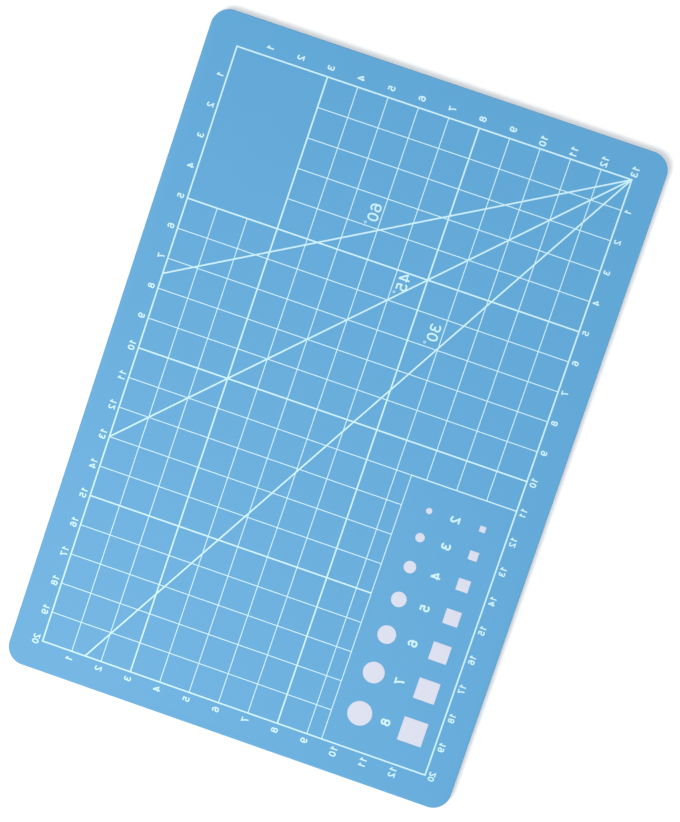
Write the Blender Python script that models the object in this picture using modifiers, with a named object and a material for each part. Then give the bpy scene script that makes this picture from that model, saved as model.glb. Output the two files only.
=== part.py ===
"""Self-healing cutting mat, 22 by 15 cm.

The board is five plastic sheets bonded face to face and cut out together with a die. The cutting scale on its
face is white ink: a ruled centimetre grid in a frame, three angle lines, and two rows of marks from 2 to 8 mm.
Nothing on it moves.

Units are metres and +Z is up. The long side lies along X, and the origin is under the middle of the back.
"""

import math

import bmesh
import bpy
from mathutils import Matrix, Vector

MM = 0.001
WELD = 0.001 * MM
FLAT = math.radians(1)

# The board's outline
MAT_LENGTH = 220 * MM
MAT_WIDTH = 150 * MM
CORNER_RADIUS = 6 * MM
CORNER_STEPS = 12

# The five sheets, from the table up, and the film of adhesive between two of them
BACK_SKIN = 0.60 * MM
LOWER_HEALING_SHEET = 0.44 * MM
RIGID_CORE = 0.84 * MM
UPPER_HEALING_SHEET = 0.44 * MM
FACE_SKIN = 0.60 * MM
BOND = 0.02 * MM

# The die rolls over the outer edge of each skin
EDGE_ROUNDING = 0.22 * MM
EDGE_STEPS = 3

# The ink lies on the face skin, and the scale a little off the middle of the board, as the die left it
INK_THICKNESS = 0.03 * MM
INK_BED = 0.01 * MM
SCALE_SHIFT_X = -0.40 * MM
SCALE_SHIFT_Y = -0.15 * MM
SCALE_IS_REVERSED = True  # False lays it out the other way round along X

# The ruled grid: as many whole cells as fit between the bare margins
CELL = 10 * MM
MARGIN = 10 * MM
CELLS_TO_A_HEAVY_LINE = 5
THIN_LINE = 0.30 * MM
HEAVY_LINE = 0.50 * MM

# Lines drawn from the corner where the scale's short side ends
ANGLES = [math.radians(60), math.radians(45), math.radians(30)]
ANGLE_LINE = 0.50 * MM

# Two corners of the grid are left unruled: one is bare, the other holds the marks
BARE_PANEL_CELLS = (5, 3)
MARK_PANEL_CELLS = (9, 3.5)
MARK_PANEL_SIDE_LINE = 0.40 * MM

# The marks: a row of discs and a row of squares, with equal spaces between them
MARK_SIZES_MM = (2, 3, 4, 5, 6, 7, 8)
MARK_END_SPACE = 8.0 * MM
DISC_ROW_FROM_PANEL_LINE = 8.9 * MM
SQUARE_ROW_FROM_FRAME = 8.25 * MM
DISC_SIDES = 40

# sRGB colours and roughness
FACE_BLUE = (0.40, 0.68, 0.87)
HEALING_BLUE = (0.62, 0.80, 0.91)
CORE_WHITE = (0.90, 0.91, 0.90)
INK_WHITE = (0.93, 0.93, 0.95)
SKIN_ROUGHNESS = 0.62
SHEET_ROUGHNESS = 0.5
INK_ROUGHNESS = 0.45

# Worked out from the values above
CELLS_LONG = math.floor((MAT_LENGTH - 2 * MARGIN + WELD) / CELL)
CELLS_WIDE = math.floor((MAT_WIDTH - 2 * MARGIN + WELD) / CELL)
SCALE_LENGTH = CELLS_LONG * CELL
SCALE_WIDTH = CELLS_WIDE * CELL
MARK_PANEL_LEFT = SCALE_LENGTH - MARK_PANEL_CELLS[0] * CELL
MARK_PANEL_TOP = SCALE_WIDTH - MARK_PANEL_CELLS[1] * CELL


def clear_scene():
    for obj in list(bpy.data.objects):
        bpy.data.objects.remove(obj, do_unlink=True)


def new_collection(name):
    collection = bpy.data.collections.new(name)
    bpy.context.scene.collection.children.link(collection)
    return collection


def linear(srgb):
    return [c / 12.92 if c <= 0.04045 else ((c + 0.055) / 1.055) ** 2.4 for c in srgb]


def plastic(name, srgb, roughness):
    material = bpy.data.materials.new(name)
    material.use_nodes = True
    surface = material.node_tree.nodes["Principled BSDF"]
    surface.inputs["Base Color"].default_value = (*linear(srgb), 1.0)
    surface.inputs["Roughness"].default_value = roughness
    surface.inputs["Metallic"].default_value = 0.0
    return material


def add_object(name, data, material, collection):
    obj = bpy.data.objects.new(name, data)
    data.materials.append(material)
    collection.objects.link(obj)
    return obj


# The five sheets


def board_outline():
    """The points of the board's edge: four quarter circles, which the straight sides join."""
    half = Vector((MAT_LENGTH / 2 - CORNER_RADIUS, MAT_WIDTH / 2 - CORNER_RADIUS))
    centres = [(half.x, half.y), (-half.x, half.y), (-half.x, -half.y), (half.x, -half.y)]
    points = []
    for corner, (x, y) in enumerate(centres):
        for step in range(CORNER_STEPS + 1):
            angle = math.pi / 2 * (corner + step / CORNER_STEPS)
            points.append((x + CORNER_RADIUS * math.cos(angle), y + CORNER_RADIUS * math.sin(angle)))
    return points


def sheet_mesh(name, thickness):
    """The outline filled, given its thickness and closed."""
    curve = bpy.data.curves.new(name, "CURVE")
    curve.dimensions = "2D"
    curve.fill_mode = "BOTH"
    curve.extrude = thickness / 2
    outline = board_outline()
    spline = curve.splines.new("POLY")
    spline.points.add(len(outline) - 1)
    for point, (x, y) in zip(spline.points, outline):
        point.co = (x, y, 0, 1)
    spline.use_cyclic_u = True
    drawn = bpy.data.objects.new(name, curve)
    bpy.context.scene.collection.objects.link(drawn)
    mesh = bpy.data.meshes.new_from_object(drawn.evaluated_get(bpy.context.evaluated_depsgraph_get()))
    bpy.data.objects.remove(drawn)
    bm = bmesh.new()
    bm.from_mesh(mesh)
    bmesh.ops.remove_doubles(bm, verts=bm.verts, dist=WELD)
    bmesh.ops.dissolve_limit(bm, angle_limit=FLAT, verts=bm.verts, edges=bm.edges)
    bm.to_mesh(mesh)
    bm.free()
    return mesh


def roll_edge(sheet, side):
    """Rounds the sheet's rim on its upper side, 1, or its lower side, -1."""
    bm = bmesh.new()
    bm.from_mesh(sheet.data)
    weight = bm.edges.layers.float.new("bevel_weight_edge")
    for edge in bm.edges:
        on_side = all(vertex.co.z * side > 0 for vertex in edge.verts)
        edge[weight] = 1.0 if on_side and edge.calc_face_angle() > FLAT else 0.0
    bm.to_mesh(sheet.data)
    bm.free()
    bevel = sheet.modifiers.new("rolled edge", "BEVEL")
    bevel.limit_method = "WEIGHT"
    bevel.width = EDGE_ROUNDING
    bevel.segments = EDGE_STEPS


def add_board(collection):
    """Stacks the five sheets and gives the height of the face."""
    skin_blue = plastic("blue skin", FACE_BLUE, SKIN_ROUGHNESS)
    healing_blue = plastic("healing sheet", HEALING_BLUE, SHEET_ROUGHNESS)
    core_white = plastic("rigid core", CORE_WHITE, SHEET_ROUGHNESS)
    sheets = [
        ("back_skin", BACK_SKIN, skin_blue, -1),
        ("lower_healing_sheet", LOWER_HEALING_SHEET, healing_blue, 0),
        ("rigid_core", RIGID_CORE, core_white, 0),
        ("upper_healing_sheet", UPPER_HEALING_SHEET, healing_blue, 0),
        ("face_skin", FACE_SKIN, skin_blue, 1),
    ]
    top = -BOND
    for name, thickness, material, rolled_side in sheets:
        bottom = top + BOND
        top = bottom + thickness
        sheet = add_object(name, sheet_mesh(name, thickness), material, collection)
        sheet.location.z = (bottom + top) / 2
        if rolled_side:
            roll_edge(sheet, rolled_side)
    return top


# The printed scale. Across runs along the long side and down along the short side, from the scale's zero corner.


def on_board(across, down, height):
    x = across - SCALE_LENGTH / 2
    if SCALE_IS_REVERSED:
        x = -x
    return Vector((x + SCALE_SHIFT_X, SCALE_WIDTH / 2 - down + SCALE_SHIFT_Y, height))


def grid_line_width(cells_from_start):
    return HEAVY_LINE if cells_from_start % CELLS_TO_A_HEAVY_LINE == 0 else THIN_LINE


def lines_down():
    """The grid's lines that run along the short side, with their ends and widths, between the frame's two."""
    for cell in range(1, CELLS_LONG):
        across = cell * CELL
        top = BARE_PANEL_CELLS[1] * CELL if cell < BARE_PANEL_CELLS[0] else 0
        bottom = MARK_PANEL_TOP if across > MARK_PANEL_LEFT + CELL / 2 else SCALE_WIDTH
        yield (across, top), (across, bottom), grid_line_width(cell)


def lines_across():
    """The grid's lines that run along the long side. Their heavy lines are counted from the far side."""
    for cell in range(1, CELLS_WIDE):
        down = cell * CELL
        left = BARE_PANEL_CELLS[0] * CELL if cell < BARE_PANEL_CELLS[1] else 0
        right = MARK_PANEL_LEFT if down > MARK_PANEL_TOP else SCALE_LENGTH
        yield (left, down), (right, down), grid_line_width(CELLS_WIDE - cell)


def frame_lines():
    corners = [(0, 0), (SCALE_LENGTH, 0), (SCALE_LENGTH, SCALE_WIDTH), (0, SCALE_WIDTH)]
    for start, end in zip(corners, corners[1:] + corners[:1]):
        yield start, end, HEAVY_LINE


def panel_lines():
    """The two lines that close the mark panel."""
    corner = (MARK_PANEL_LEFT, MARK_PANEL_TOP)
    yield corner, (SCALE_LENGTH, MARK_PANEL_TOP), THIN_LINE
    yield corner, (MARK_PANEL_LEFT, SCALE_WIDTH), MARK_PANEL_SIDE_LINE


def angle_lines():
    """Lines from the far end of the zero side, each to the first side of the frame that it meets."""
    for angle in ANGLES:
        reach = min(SCALE_WIDTH / math.sin(angle), SCALE_LENGTH / math.cos(angle))
        end = (reach * math.cos(angle), SCALE_WIDTH - reach * math.sin(angle))
        yield (0, SCALE_WIDTH), end, ANGLE_LINE


def cut_along(bm, start, end, width):
    """Cuts the film along both sides of a printed line."""
    across = (end - start).normalized().cross(Vector((0, 0, 1)))
    for side in (-1, 1):
        everything = [*bm.verts, *bm.edges, *bm.faces]
        edge_point = start + across * side * width / 2
        bmesh.ops.bisect_plane(bm, geom=everything, dist=WELD, plane_co=edge_point, plane_no=across)


def is_covered(point, start, end, width):
    """Whether the point is under a printed line, whose ends reach half its width further."""
    along = (end - start).normalized()
    travel = (point - start).dot(along)
    aside = (point - start - along * travel).length
    return aside < width / 2 and -width / 2 < travel < (end - start).length + width / 2


def add_ruled_scale(height, material, collection):
    """The ruled lines as one film of ink: a blank is cut along every line, and what lies between is removed."""
    drawn = [*frame_lines(), *lines_down(), *lines_across(), *panel_lines(), *angle_lines()]
    lines = [(on_board(*start, height), on_board(*end, height), width) for start, end, width in drawn]
    blank_size = Matrix.Diagonal((SCALE_LENGTH + HEAVY_LINE, SCALE_WIDTH + HEAVY_LINE, 1, 1))
    middle = Matrix.Translation(on_board(SCALE_LENGTH / 2, SCALE_WIDTH / 2, height))
    bm = bmesh.new()
    bmesh.ops.create_grid(bm, x_segments=1, y_segments=1, size=0.5, matrix=middle @ blank_size)
    for line in lines:
        cut_along(bm, *line)
    bare = [face for face in bm.faces if not any(is_covered(face.calc_center_median(), *line) for line in lines)]
    bmesh.ops.delete(bm, geom=bare, context="FACES")
    mesh = bpy.data.meshes.new("ruled_scale")
    bm.to_mesh(mesh)
    bm.free()
    scale = add_object("ruled_scale", mesh, material, collection)
    ink = scale.modifiers.new("ink thickness", "SOLIDIFY")
    ink.thickness = INK_THICKNESS
    ink.offset = 0


def add_marks(height, material, collection):
    """The row of discs and the row of squares. Both rows share their places along the panel."""
    sizes = [size * MM for size in MARK_SIZES_MM]
    panel_length = SCALE_LENGTH - MARK_PANEL_LEFT
    space = (panel_length - 2 * MARK_END_SPACE - sum(sizes)) / (len(sizes) - 1)
    across = MARK_PANEL_LEFT + MARK_END_SPACE
    for label, size in zip(MARK_SIZES_MM, sizes):
        middle = across + size / 2
        disc = bmesh.new()
        spot = Matrix.Translation(on_board(middle, MARK_PANEL_TOP + DISC_ROW_FROM_PANEL_LINE, height))
        bmesh.ops.create_cone(
            disc,
            cap_ends=True,
            segments=DISC_SIDES,
            radius1=size / 2,
            radius2=size / 2,
            depth=INK_THICKNESS,
            matrix=spot,
        )
        add_mark(f"disc_mark_{label}", disc, material, collection)
        square = bmesh.new()
        spot = Matrix.Translation(on_board(middle, SCALE_WIDTH - SQUARE_ROW_FROM_FRAME, height))
        size_of_square = Matrix.Diagonal((size, size, INK_THICKNESS, 1))
        bmesh.ops.create_cube(square, size=1, matrix=spot @ size_of_square)
        add_mark(f"square_mark_{label}", square, material, collection)
        across += size + space


def add_mark(name, bm, material, collection):
    mesh = bpy.data.meshes.new(name)
    bm.to_mesh(mesh)
    bm.free()
    add_object(name, mesh, material, collection)


def main():
    clear_scene()
    mat = new_collection("cutting mat")
    face = add_board(mat)
    ink = plastic("screen ink", INK_WHITE, INK_ROUGHNESS)
    ink_height = face + INK_BED + INK_THICKNESS / 2
    add_ruled_scale(ink_height, ink, mat)
    add_marks(ink_height, ink, mat)


main()
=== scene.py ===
import math

import bmesh
import bpy
from mathutils import Matrix, Vector


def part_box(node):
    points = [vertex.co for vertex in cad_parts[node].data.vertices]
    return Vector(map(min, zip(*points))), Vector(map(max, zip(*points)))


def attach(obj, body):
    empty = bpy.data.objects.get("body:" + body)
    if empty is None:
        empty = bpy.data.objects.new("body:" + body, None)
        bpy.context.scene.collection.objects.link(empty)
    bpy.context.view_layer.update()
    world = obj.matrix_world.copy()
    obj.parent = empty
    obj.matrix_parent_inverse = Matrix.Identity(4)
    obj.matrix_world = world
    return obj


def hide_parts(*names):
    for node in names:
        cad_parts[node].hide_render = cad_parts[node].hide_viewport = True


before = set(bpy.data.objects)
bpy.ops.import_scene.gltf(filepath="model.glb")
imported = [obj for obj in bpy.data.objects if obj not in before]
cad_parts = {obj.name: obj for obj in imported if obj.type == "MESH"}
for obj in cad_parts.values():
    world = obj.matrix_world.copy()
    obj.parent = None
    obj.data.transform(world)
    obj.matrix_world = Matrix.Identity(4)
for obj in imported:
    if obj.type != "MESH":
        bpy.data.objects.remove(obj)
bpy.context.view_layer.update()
mm = 0.001
nearly = 0.001 * mm  # how close to a height an edge has to be to lie at it
print("frame loaded with", len(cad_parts), "nodes")


# camera, where the photo was taken from: high over the mat and a little to one side, in mm
cameraSetup = {
    "place": (116.8, -47.6, 902.7),
    "aim": (1.47, -2.20, 3.04),
    "uprightTurn": 18.56,  # the picture's up side, in degrees from +X towards +Y
    "lens": 125.96,
    "sensorWidth": 36,
    "clipStart": 10.0,
    "clipEnd": 30000.0,
}


def addCamera(setup):
    place = Vector(setup["place"]) * mm
    back = (place - Vector(setup["aim"]) * mm).normalized()
    turn = math.radians(setup["uprightTurn"])
    right = Vector((math.cos(turn), math.sin(turn), 0)).cross(back).normalized()
    up = back.cross(right)
    bpy.ops.object.camera_add()
    camera = bpy.context.object
    camera.name = "photo camera"
    camera.matrix_world = Matrix.Translation(place) @ Matrix((right, up, back)).transposed().to_4x4()
    camera.data.lens = setup["lens"]
    camera.data.sensor_width = setup["sensorWidth"]
    camera.data.clip_start = setup["clipStart"] * mm
    camera.data.clip_end = setup["clipEnd"] * mm
    bpy.context.scene.camera = camera


addCamera(cameraSetup)
print("camera placed")


# helpers
def toLinear(hexColour):
    # the sRGB curve, undone
    channels = [int(hexColour[i:i + 2], 16) / 255 for i in (1, 3, 5)]
    return (*[c / 12.92 if c <= 0.04045 else ((c + 0.055) / 1.055) ** 2.4 for c in channels], 1)


def addNode(tree, kind, settings=None, inputs=None):
    node = tree.nodes.new(kind)
    for name, value in (settings or {}).items():
        setattr(node, name, value)
    for name, value in (inputs or {}).items():
        if isinstance(value, bpy.types.NodeSocket):
            tree.links.new(value, node.inputs[name])
        else:
            node.inputs[name].default_value = value
    return node


def newMaterial(name):
    material = bpy.data.materials.new(name)
    material.use_nodes = True
    tree = material.node_tree
    return material, tree, tree.nodes["Principled BSDF"]


def deselectAll():
    if bpy.context.object and bpy.context.object.mode != "OBJECT":
        bpy.ops.object.mode_set(mode="OBJECT")
    bpy.ops.object.select_all(action="DESELECT")


def selectEdges(piece, wanted):
    # leaves the piece in edit mode with only the wanted edges selected
    bpy.ops.object.mode_set(mode="EDIT")
    bpy.ops.mesh.select_mode(type="EDGE")
    bpy.ops.mesh.select_all(action="DESELECT")
    bm = bmesh.from_edit_mesh(piece.data)
    for edge in bm.edges:
        if wanted(edge):
            edge.select_set(True)
    bmesh.update_edit_mesh(piece.data)


def isUpright(edge, leastRise):
    return abs(edge.verts[0].co.z - edge.verts[1].co.z) > leastRise


def liesAt(edge, height):
    return all(abs(vert.co.z - height) < nearly for vert in edge.verts)


def finishPiece(piece, material, replacedNode=None):
    deselectAll()
    piece.select_set(True)
    bpy.context.view_layer.objects.active = piece
    bpy.ops.object.transform_apply(location=True, rotation=True, scale=True)
    piece.data.materials.clear()
    piece.data.materials.append(material)
    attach(piece, "root")
    if replacedNode:
        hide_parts(replacedNode)


# materials, with sizes in mm
skinLook = {
    "colour": "#4F9FD1",
    "cloudColour": "#55A3D3",  # where the pigment clouds a little
    "cloudSize": 45.0,
    "cloudDetail": 4,
    "cloudRoughness": 0.6,
    "pebbleSize": 0.5,  # the real grain is about 0.2 mm, drawn coarser so that it shows
    "pebbleSmoothness": 0.6,
    "pebbleHeight": 0.02,
    "pebbleStrength": 0.6,
    "roughness": (0.50, 0.58),
    "ior": 1.53,
}


def makeSkin(look):
    # Calendered PVC with an embossed matt grain: an even blue with a wide soft sheen, and nothing mirrored.
    material, tree, surface = newMaterial("calendered PVC skin")
    place = addNode(tree, "ShaderNodeTexCoord").outputs["Object"]
    cloud = addNode(tree, "ShaderNodeTexNoise", inputs={
        "Vector": place, "Scale": 1 / (look["cloudSize"] * mm),
        "Detail": look["cloudDetail"], "Roughness": look["cloudRoughness"]})
    colour = addNode(tree, "ShaderNodeMix", {"data_type": "RGBA"}, {
        0: cloud.outputs[0], 6: toLinear(look["colour"]), 7: toLinear(look["cloudColour"])})
    pebble = addNode(tree, "ShaderNodeTexVoronoi", {"feature": "SMOOTH_F1"}, {
        "Vector": place, "Scale": 1 / (look["pebbleSize"] * mm), "Smoothness": look["pebbleSmoothness"]})
    relief = addNode(tree, "ShaderNodeBump", inputs={
        "Height": pebble.outputs["Distance"],
        "Distance": look["pebbleHeight"] * mm, "Strength": look["pebbleStrength"]})
    sheen = addNode(tree, "ShaderNodeMapRange", inputs={
        "Value": cloud.outputs[0], "To Min": look["roughness"][0], "To Max": look["roughness"][1]})
    tree.links.new(colour.outputs[2], surface.inputs["Base Color"])
    tree.links.new(sheen.outputs[0], surface.inputs["Roughness"])
    tree.links.new(relief.outputs[0], surface.inputs["Normal"])
    surface.inputs["IOR"].default_value = look["ior"]
    return material


healingLook = {
    "colour": "#8FC3E2",
    "paleColour": "#A5D0E9",
    "roughness": 0.5,
}
coreLook = {
    "colour": "#DFE2E0",
    "paleColour": "#ECEEEC",
    "roughness": 0.45,
}
dieCut = {
    "strokeWidth": 0.35,  # spacing of the marks that the die leaves down the edge
    "strokeStretch": 20,  # how many times as long as wide a mark is
    "strokeDetail": 3,
    "strokeRoughness": 0.55,
    "strokeHeight": 0.012,
    "strokeStrength": 0.8,
    "ior": 1.53,
}


def makeCutSheet(name, look, cut):
    # A plastic sheet seen on its die-cut edge: matt, with fine upright strokes where the knife went down.
    material, tree, surface = newMaterial(name)
    place = addNode(tree, "ShaderNodeTexCoord").outputs["Object"]
    spacing = 1 / (cut["strokeWidth"] * mm)
    upright = addNode(tree, "ShaderNodeMapping", inputs={
        "Vector": place, "Scale": (spacing, spacing, spacing / cut["strokeStretch"])})
    strokes = addNode(tree, "ShaderNodeTexNoise", inputs={
        "Vector": upright.outputs[0], "Scale": 1,
        "Detail": cut["strokeDetail"], "Roughness": cut["strokeRoughness"]})
    colours = addNode(tree, "ShaderNodeMix", {"data_type": "RGBA"}, {
        0: strokes.outputs[0], 6: toLinear(look["colour"]), 7: toLinear(look["paleColour"])})
    relief = addNode(tree, "ShaderNodeBump", inputs={
        "Height": strokes.outputs[0],
        "Distance": cut["strokeHeight"] * mm, "Strength": cut["strokeStrength"]})
    tree.links.new(colours.outputs[2], surface.inputs["Base Color"])
    tree.links.new(relief.outputs[0], surface.inputs["Normal"])
    surface.inputs["Roughness"].default_value = look["roughness"]
    surface.inputs["IOR"].default_value = cut["ior"]
    return material


spotInkLook = {
    "colour": "#D8DBEB",
    "thinColour": "#D2D7E7",  # where the blue below shows through a little
}
lineInkLook = {
    "colour": "#CDF1FB",  # a fine line takes a thinner film, which reads cooler
    "thinColour": "#C1ECF9",
}
inkFilm = {
    "meshSize": 0.35,  # the threads of a real screen are about 0.15 mm apart, drawn coarser so that they show
    "coverDetail": 2,
    "coverRoughness": 0.5,
    "roughness": 0.42,
    "ior": 1.5,
}


def makeInk(name, look, film):
    # Screen-printed vinyl ink: a nearly opaque cool white film that the mesh leaves faintly uneven.
    material, tree, surface = newMaterial(name)
    place = addNode(tree, "ShaderNodeTexCoord").outputs["Object"]
    cover = addNode(tree, "ShaderNodeTexNoise", inputs={
        "Vector": place, "Scale": 1 / (film["meshSize"] * mm),
        "Detail": film["coverDetail"], "Roughness": film["coverRoughness"]})
    colour = addNode(tree, "ShaderNodeMix", {"data_type": "RGBA"}, {
        0: cover.outputs[0], 6: toLinear(look["thinColour"]), 7: toLinear(look["colour"])})
    tree.links.new(colour.outputs[2], surface.inputs["Base Color"])
    surface.inputs["Roughness"].default_value = film["roughness"]
    surface.inputs["IOR"].default_value = film["ior"]
    return material


skin = makeSkin(skinLook)
healing = makeCutSheet("self-healing vinyl sheet", healingLook, dieCut)
core = makeCutSheet("rigid PVC core", coreLook, dieCut)
spotInk = makeInk("screen-printed ink, solid spots", spotInkLook, inkFilm)
lineInk = makeInk("screen-printed ink, fine lines", lineInkLook, inkFilm)
print("materials made")


# the board: five bonded sheets, each drawn over its node with a finer corner and a finer edge, in mm
boardShape = {
    "cornerRadius": 6.0,
    "cornerSteps": 28,
    "rolledEdge": 0.22,  # the die rolls the outer edge of each skin
    "rolledSteps": 5,
    "drawnIn": 0.05,  # how far the soft sheets shrink back from the cut
    "smoothBelow": 35,  # degrees
}


def addSheet(name, node, material, rolledSide, drawnIn):
    low, high = [Vector(corner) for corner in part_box(node)]
    middle, size = (low + high) / 2, high - low
    deselectAll()
    bpy.ops.mesh.primitive_cube_add(size=1, location=middle, scale=size)
    sheet = bpy.context.object
    sheet.name = name
    bpy.ops.object.transform_apply(location=True, rotation=True, scale=True)
    selectEdges(sheet, lambda edge: isUpright(edge, size.z / 2))
    bpy.ops.mesh.bevel(offset=boardShape["cornerRadius"] * mm, segments=boardShape["cornerSteps"])
    if rolledSide:
        outer = high.z if rolledSide > 0 else low.z
        selectEdges(sheet, lambda edge: liesAt(edge, outer))
        bpy.ops.mesh.bevel(offset=boardShape["rolledEdge"] * mm, segments=boardShape["rolledSteps"])
    if drawnIn:
        bpy.ops.mesh.select_all(action="SELECT")
        bpy.ops.mesh.bisect(plane_co=middle, plane_no=(0, 0, 1))
        selectEdges(sheet, lambda edge: liesAt(edge, middle.z))
        bpy.ops.transform.shrink_fatten(value=-drawnIn * mm)
    bpy.ops.object.mode_set(mode="OBJECT")
    finishPiece(sheet, material, node)
    bpy.ops.object.shade_smooth_by_angle(angle=math.radians(boardShape["smoothBelow"]))


addSheet("resting_back_skin", "back_skin", skin, -1, 0)
addSheet("lower_healing_layer", "lower_healing_sheet", healing, 0, boardShape["drawnIn"])
addSheet("core_layer", "rigid_core", core, 0, 0)
addSheet("upper_healing_layer", "upper_healing_sheet", healing, 0, boardShape["drawnIn"])
addSheet("printed_face_skin", "face_skin", skin, 1, 0)
print("board laid up")


# the print: the ruled film stays as the frame has it, and the rest is placed from its corner, in mm
inkLow, inkHigh = [Vector(corner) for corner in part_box("ruled_scale")]
printLayout = {
    "frameLine": 0.50,
    "cell": 10.0,
    "cellsLong": 20,
    "cellsWide": 13,
    "belowRules": 0.005,  # numerals lie this much lower, so that no two films share a face
}
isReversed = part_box("disc_mark_8")[0][0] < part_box("disc_mark_2")[0][0]
acrossSign = -1 if isReversed else 1
zeroCorner = Vector((inkHigh.x if isReversed else inkLow.x, inkHigh.y, inkLow.z))
zeroCorner += Vector((acrossSign, -1, 0)) * printLayout["frameLine"] / 2 * mm

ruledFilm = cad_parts["ruled_scale"]
ruledFilm.data.materials.clear()
ruledFilm.data.materials.append(lineInk)

spotShape = {
    "discSides": 96,
    "cornerRadius": 0.12,  # the ink rounds off a printed corner
    "cornerSteps": 6,
    "softEdge": 0.012,
    "softSteps": 2,
}


def addSpot(node):
    # a spot of ink: a disc or a square, with the film's edge rounded off
    low, high = [Vector(corner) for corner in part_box(node)]
    middle, size = (low + high) / 2, high - low
    isDisc = node.startswith("disc")
    deselectAll()
    if isDisc:
        bpy.ops.mesh.primitive_cylinder_add(
            vertices=spotShape["discSides"], radius=size.x / 2, depth=size.z, location=middle)
    else:
        bpy.ops.mesh.primitive_cube_add(size=1, location=middle, scale=size)
    spot = bpy.context.object
    spot.name = "ink_" + node.replace("_mark", "")
    bpy.ops.object.transform_apply(location=True, rotation=True, scale=True)
    if not isDisc:
        selectEdges(spot, lambda edge: isUpright(edge, size.z / 2))
        bpy.ops.mesh.bevel(offset=spotShape["cornerRadius"] * mm, segments=spotShape["cornerSteps"])
    selectEdges(spot, lambda edge: all(v.co.z > middle.z for v in edge.verts))
    bpy.ops.mesh.bevel(offset=spotShape["softEdge"] * mm, segments=spotShape["softSteps"])
    bpy.ops.object.mode_set(mode="OBJECT")
    finishPiece(spot, spotInk, node)


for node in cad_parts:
    if "_mark_" in node:
        addSpot(node)
print("marks inked")


# numerals: one master of each digit, one unit high, drawn with a pen of even width
penStyle = {
    "boldPen": 0.20,  # share of the height
    "lightPen": 0.155,
    "ringPen": 0.055,
    "width": 0.70,
    "advance": 0.77,
    "squareness": 2.25,  # 2 is an ellipse, more is fuller
    "waist": 0.53,  # where the two bowls of 3 and 8 meet
    "sixTop": 0.64,  # top of the bowl of 6, and of 9 the other way up
    "fiveTop": 0.66,
    "barShare": 0.9,  # a level stroke is this share of the pen
    "fourBarShare": 0.85,
    "fourStem": 0.61,
    "fourFoot": 0.21,
    "stepAngle": 9,
    "filmUnits": 0.2,
    "mergeUnits": 0.0001,
    "straightAngle": 0.5,
}


def bow(centre, reach, start, end):
    # part of a full oval, from one angle to another in degrees
    steps = max(2, round(abs(end - start) / penStyle["stepAngle"]))
    points = []
    for step in range(steps + 1):
        angle = math.radians(start + (end - start) * step / steps)
        across, up = [math.copysign(abs(part) ** (2 / penStyle["squareness"]), part)
                      for part in (math.cos(angle), math.sin(angle))]
        points.append(Vector((centre[0] + reach[0] * across, centre[1] + reach[1] * up)))
    return points


def sweep(start, pull, end, steps=10):
    # a slightly bent stroke, pulled towards a point beside it
    start, pull, end = Vector(start), Vector(pull), Vector(end)
    return [start.lerp(pull, i / steps).lerp(pull.lerp(end, i / steps), i / steps) for i in range(steps + 1)]


def penOutline(path, pen, closed=False):
    # both sides of the pen's stroke along the path, with mitred corners
    path = [Vector(point) for point in path]
    leftSide, rightSide = [], []
    for i, point in enumerate(path):
        before = path[i - 1] if i or closed else point
        after = path[(i + 1) % len(path)] if i < len(path) - 1 or closed else point
        arriving, leaving = (point - before).normalized(), (after - point).normalized()
        along = (arriving + leaving).normalized()
        aside = Vector((-along.y, along.x))
        straightness = along.dot(arriving if before != point else leaving)
        leftSide.append(point + aside * pen / 2 / straightness)
        rightSide.append(point - aside * pen / 2 / straightness)
    return [leftSide, rightSide] if closed else [leftSide + rightSide[::-1]]


def bar(left, right, low, high):
    return [[(left, low), (right, low), (right, high), (left, high)]]


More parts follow.
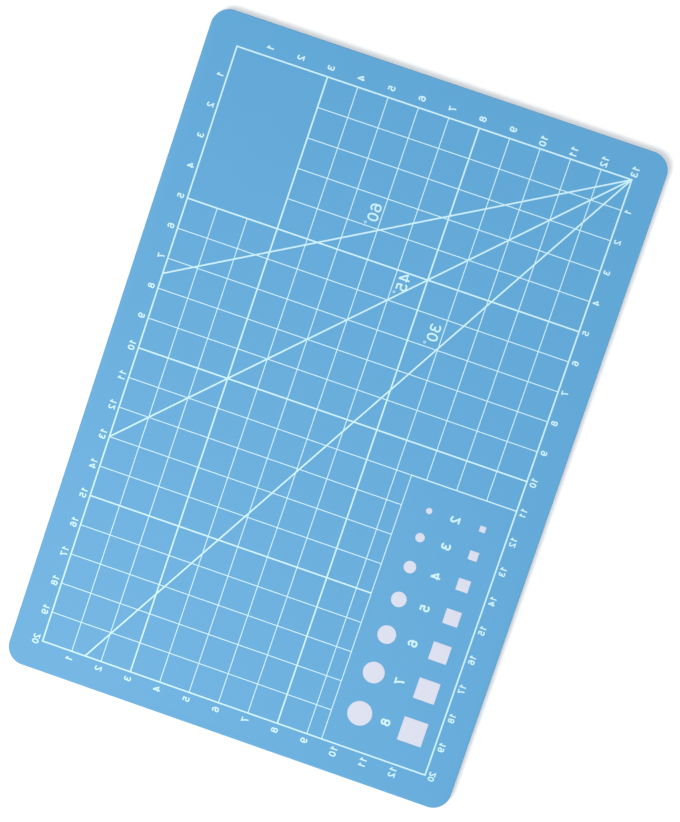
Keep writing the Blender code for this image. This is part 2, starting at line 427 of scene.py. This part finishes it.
def digitShapes(pen):
    # each digit as a list of shapes, and each shape as its outlines, the outer one and any hole
    half, wide = pen / 2, penStyle["width"]
    top, base, middle = 1 - half, half, wide / 2
    waist, sixTop, fiveTop = penStyle["waist"], penStyle["sixTop"] - half, penStyle["fiveTop"] - half
    upper = ((middle, (top + waist) / 2), (middle - half - 0.03, (top - waist) / 2))
    lower = ((middle, (waist + base) / 2), (middle - half, (waist - base) / 2))
    sixRing = ((middle, (sixTop + base) / 2), (middle - half, (sixTop - base) / 2))
    fiveBowl = ((middle - 0.005, (fiveTop + base) / 2), (middle - half, (fiveTop - base) / 2))
    level, crossbar = penStyle["barShare"] * pen, penStyle["fourBarShare"] * pen
    stem, foot = penStyle["fourStem"], penStyle["fourFoot"]
    slope = (1 - foot - crossbar) / (stem - pen)
    inset = pen * math.hypot(1, slope) / slope
    six = [penOutline(bow(*sixRing, 0, 360)[:-1], pen, closed=True),
           penOutline([*bow((middle + 0.02, 0.47), (middle + 0.02 - half, top - 0.47), 35, 180),
                       (half, sixRing[0][1])], pen)]
    nine = [[[Vector((wide - point[0], 1 - point[1])) for point in outline] for outline in shape]
            for shape in six]
    return {
        "0": [penOutline(bow((middle, 0.5), (middle - half, 0.5 - half), 0, 360)[:-1], pen, closed=True)],
        "1": [[[(0.51, 1), (0.51, 0), (0.51 - pen, 0), (0.51 - pen, 0.87 - pen), (0.22, 0.82 - pen),
                (0.10, 0.79 - pen), (0.10, 0.80), (0.21, 0.85), (0.31, 0.92), (0.36, 1)]]],
        "2": [penOutline([*bow((middle, 0.70), (middle - half - 0.02, top - 0.70), 170, -28),
                          (0.15, base)], pen),
              bar(0.02, wide - 0.01, 0, level)],
        "3": [penOutline([*bow(*upper, 165, -90), (0.24, waist)], pen),
              penOutline([(0.24, waist), *bow(*lower, 90, -165)], pen)],
        "4": [[[(stem, 1), (stem, foot + crossbar), (wide, foot + crossbar), (wide, foot), (stem, foot),
                (stem, 0), (stem - pen, 0), (stem - pen, foot), (0, foot), (0, foot + crossbar),
                (stem - pen, 1)],
               [(stem - pen, foot + crossbar), (inset, foot + crossbar), (stem - pen, 1 - inset * slope)]]],
        "5": [penOutline([(0.64, top), (0.195, top), (0.145, 0.48)], pen),
              penOutline(bow(*fiveBowl, 135, -165), pen)],
        "6": six,
        "7": [bar(0.03, 0.67, 1 - level, 1),
              penOutline(sweep((0.67 - half, 1 - level / 2), (0.30, 0.52), (0.20 + half, 0)), pen)],
        "8": [penOutline(bow(*upper, 0, 360)[:-1], pen, closed=True),
              penOutline(bow(*lower, 0, 360)[:-1], pen, closed=True)],
        "9": nine,
        "o": [penOutline(bow((0.19, 1.0), (0.09, 0.09), 0, 360)[:-1], penStyle["ringPen"], closed=True)],
    }


def castShape(name, outlines):
    # fills the outlines with a film of ink
    curve = bpy.data.curves.new(name, "CURVE")
    curve.dimensions = "2D"
    curve.fill_mode = "BOTH"
    curve.extrude = penStyle["filmUnits"] / 2
    for outline in outlines:
        spline = curve.splines.new("POLY")
        spline.points.add(len(outline) - 1)
        for point, spot in zip(spline.points, outline):
            point.co = (spot[0], spot[1], 0, 1)
        spline.use_cyclic_u = True
    shape = bpy.data.objects.new(name, curve)
    bpy.context.scene.collection.objects.link(shape)
    deselectAll()
    shape.select_set(True)
    bpy.context.view_layer.objects.active = shape
    bpy.ops.object.convert(target="MESH")
    bpy.ops.object.mode_set(mode="EDIT")
    bpy.ops.mesh.select_all(action="SELECT")
    bpy.ops.mesh.remove_doubles(threshold=penStyle["mergeUnits"])
    bpy.ops.mesh.dissolve_limited(angle_limit=math.radians(penStyle["straightAngle"]))
    bpy.ops.mesh.normals_make_consistent(inside=False)
    bpy.ops.object.mode_set(mode="OBJECT")
    return shape


def castDigit(name, shapes):
    # joins the shapes of a digit, and keeps only its mesh
    digit = castShape("digit " + name, shapes[0])
    for outlines in shapes[1:]:
        other = castShape("part", outlines)
        deselectAll()
        bpy.context.view_layer.objects.active = digit
        union = digit.modifiers.new("join", "BOOLEAN")
        union.operation = "UNION"
        union.solver = "EXACT"
        union.object = other
        bpy.ops.object.modifier_apply(modifier=union.name)
        bpy.data.objects.remove(other, do_unlink=True)
    mesh = digit.data
    bpy.data.objects.remove(digit, do_unlink=True)
    return mesh


def castFont(pen):
    return {name: castDigit(name, shapes) for name, shapes in digitShapes(pen).items()}


boldDigits = castFont(penStyle["boldPen"])
lightDigits = castFont(penStyle["lightPen"])


def writeText(bm, font, text, across, down, height, spacing=0.0):
    # across and down in mm from the zero corner to the middle of the text
    starts = [i * (penStyle["advance"] + spacing) for i in range(len(text))]
    left = min(v.co.x for v in font[text[0]].vertices)
    right = starts[-1] + max(v.co.x for v in font[text[-1]].vertices)
    film = inkHigh.z - inkLow.z - printLayout["belowRules"] * mm
    for name, start in zip(text, starts):
        mesh = font[name].copy()
        x = across + (start - (left + right) / 2) * height
        corner = zeroCorner + Vector((acrossSign * x, -(down + height / 2), 0)) * mm
        corner.z = inkLow.z + film / 2
        size = Matrix.Diagonal((acrossSign * height * mm, height * mm, film / penStyle["filmUnits"], 1))
        mesh.transform(Matrix.Translation(corner) @ size)
        bm.from_mesh(mesh)
        bpy.data.meshes.remove(mesh)


def addNumerals(name, font, entries):
    bm = bmesh.new()
    for entry in entries:
        writeText(bm, font, *entry)
    bmesh.ops.recalc_face_normals(bm, faces=bm.faces)
    mesh = bpy.data.meshes.new(name)
    bm.to_mesh(mesh)
    bm.free()
    piece = bpy.data.objects.new(name, mesh)
    bpy.context.scene.collection.objects.link(piece)
    finishPiece(piece, lineInk)


numeralPlaces = {  # all in mm: heights, and the middles of the rows from the frame's lines
    "top": {"height": 2.25, "row": -2.25, "shift": -0.15},
    "bottom": {"height": 2.15, "row": 2.15, "shift": -0.2},
    "left": {"height": 2.35, "oneDigit": -3.0, "twoDigits": -2.55, "shift": 0.2},
    "right": {"height": 2.35, "oneDigit": 2.38, "twoDigits": 2.7, "shift": -0.2},
    "marks": {"height": 3.2, "row": 112.6},
    "angles": {
        "height": 3.6,
        "spacing": 0.08,
        "ringAcross": 3.75,  # from the middle of the two digits to the degree ring
        "labels": {"60": (35.3, 57.4), "45": (53.15, 72.95), "30": (65.0, 87.15)},
    },
}


def addAllNumerals(places):
    cell = printLayout["cell"]
    long, wide = printLayout["cellsLong"], printLayout["cellsWide"]
    for side, lineAt in (("top", 0), ("bottom", wide * cell)):
        style = places[side]
        entries = []
        for count in range(1, long + 1):
            across = count * cell + style["shift"]
            entries.append((str(count), across, lineAt + style["row"], style["height"]))
        addNumerals("numerals_" + side, boldDigits, entries)
    for side, lineAt, last in (("left", 0, wide), ("right", long * cell, wide - 1)):
        style = places[side]
        entries = []
        for count in range(1, last + 1):
            across = lineAt + style["oneDigit" if count < 10 else "twoDigits"]
            entries.append((str(count), across, count * cell + style["shift"], style["height"]))
        addNumerals("numerals_" + side, boldDigits, entries)
    style = places["marks"]
    marks = []
    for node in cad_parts:
        if node.startswith("disc_mark"):
            low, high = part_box(node)
            across = ((low[0] + high[0]) / 2 - zeroCorner.x) * acrossSign / mm
            marks.append((node.split("_")[-1], across, style["row"], style["height"]))
    addNumerals("numerals_marks", boldDigits, marks)
    style = places["angles"]
    labels = [(text, *spot, style["height"], style["spacing"]) for text, spot in style["labels"].items()]
    rings = [("o", across + style["ringAcross"], down, style["height"])
             for across, down in style["labels"].values()]
    addNumerals("angle_labels", lightDigits, labels + rings)


addAllNumerals(numeralPlaces)
for mesh in [*boldDigits.values(), *lightDigits.values()]:
    bpy.data.meshes.remove(mesh)
print("numerals printed")


# the floor and the light
studio = {
    "floorSize": 8.0,
    "floorDrop": 0.02,  # mm below the mat
    "floorColour": "#E2E2E2",
    "floorRoughness": 0.9,
    "glowNear": (0.25, 0.34),  # metres, strength: lifts the lit floor to white and leaves the shadow
    "glowFar": (1.5, 1.0),  # where the lamps fall off
    "worldLight": 0.25,
    "lamps": {  # place in metres from the mat, size in metres, power in watts
        "key softbox": ((-1.0, 0.74, 1.95), 1.25, 41.0),
        "fill softbox": ((1.5, -0.95, 1.65), 1.9, 15.0),
    },
}


def addSeenRays(tree):
    # 1 for what the camera sees, also mirrored or through a clear thing, and 0 for light that falls
    rays = addNode(tree, "ShaderNodeLightPath").outputs
    mirrored = addNode(tree, "ShaderNodeMath", {"operation": "ADD"}, {
        0: rays["Is Camera Ray"], 1: rays["Is Glossy Ray"]})
    return addNode(tree, "ShaderNodeMath", {"operation": "ADD"}, {
        0: mirrored.outputs[0], 1: rays["Is Transmission Ray"]}).outputs[0]


def addStudio(setup):
    deselectAll()
    bpy.ops.mesh.primitive_plane_add(size=setup["floorSize"], location=(0, 0, -setup["floorDrop"] * mm))
    floor = bpy.context.object
    floor.name = "studio floor"
    # Matt white paint: it takes the mat's shadow, and is lifted to white where it is seen.
    material, tree, surface = newMaterial("painted studio floor")
    place = addNode(tree, "ShaderNodeTexCoord").outputs["Object"]
    distance = addNode(tree, "ShaderNodeVectorMath", {"operation": "LENGTH"}, {0: place})
    lift = addNode(tree, "ShaderNodeMapRange", inputs={
        "Value": distance.outputs["Value"],
        "From Min": setup["glowNear"][0], "To Min": setup["glowNear"][1],
        "From Max": setup["glowFar"][0], "To Max": setup["glowFar"][1]})
    glow = addNode(tree, "ShaderNodeMath", {"operation": "MULTIPLY"}, {
        0: addSeenRays(tree), 1: lift.outputs[0]})
    surface.inputs["Base Color"].default_value = toLinear(setup["floorColour"])
    surface.inputs["Roughness"].default_value = setup["floorRoughness"]
    surface.inputs["Specular IOR Level"].default_value = 0
    surface.inputs["Emission Color"].default_value = (1, 1, 1, 1)
    tree.links.new(glow.outputs[0], surface.inputs["Emission Strength"])
    floor.data.materials.append(material)
    for name, (place, size, power) in setup["lamps"].items():
        bpy.ops.object.light_add(type="AREA", location=place)
        lamp = bpy.context.object
        lamp.name = name
        lamp.rotation_euler = (-Vector(place)).to_track_quat("-Z", "Y").to_euler()
        lamp.data.size = size
        lamp.data.energy = power


def addWorld(setup):
    world = bpy.data.worlds.new("pale studio")
    bpy.context.scene.world = world
    world.use_nodes = True
    tree = world.node_tree
    background = tree.nodes["Background"]
    strength = addNode(tree, "ShaderNodeMapRange", inputs={
        "Value": addSeenRays(tree), "To Min": setup["worldLight"], "To Max": 1})
    background.inputs["Color"].default_value = (1, 1, 1, 1)
    tree.links.new(strength.outputs[0], background.inputs["Strength"])


addStudio(studio)
addWorld(studio)
bpy.context.scene.view_settings.view_transform = "Standard"
print("studio lit")
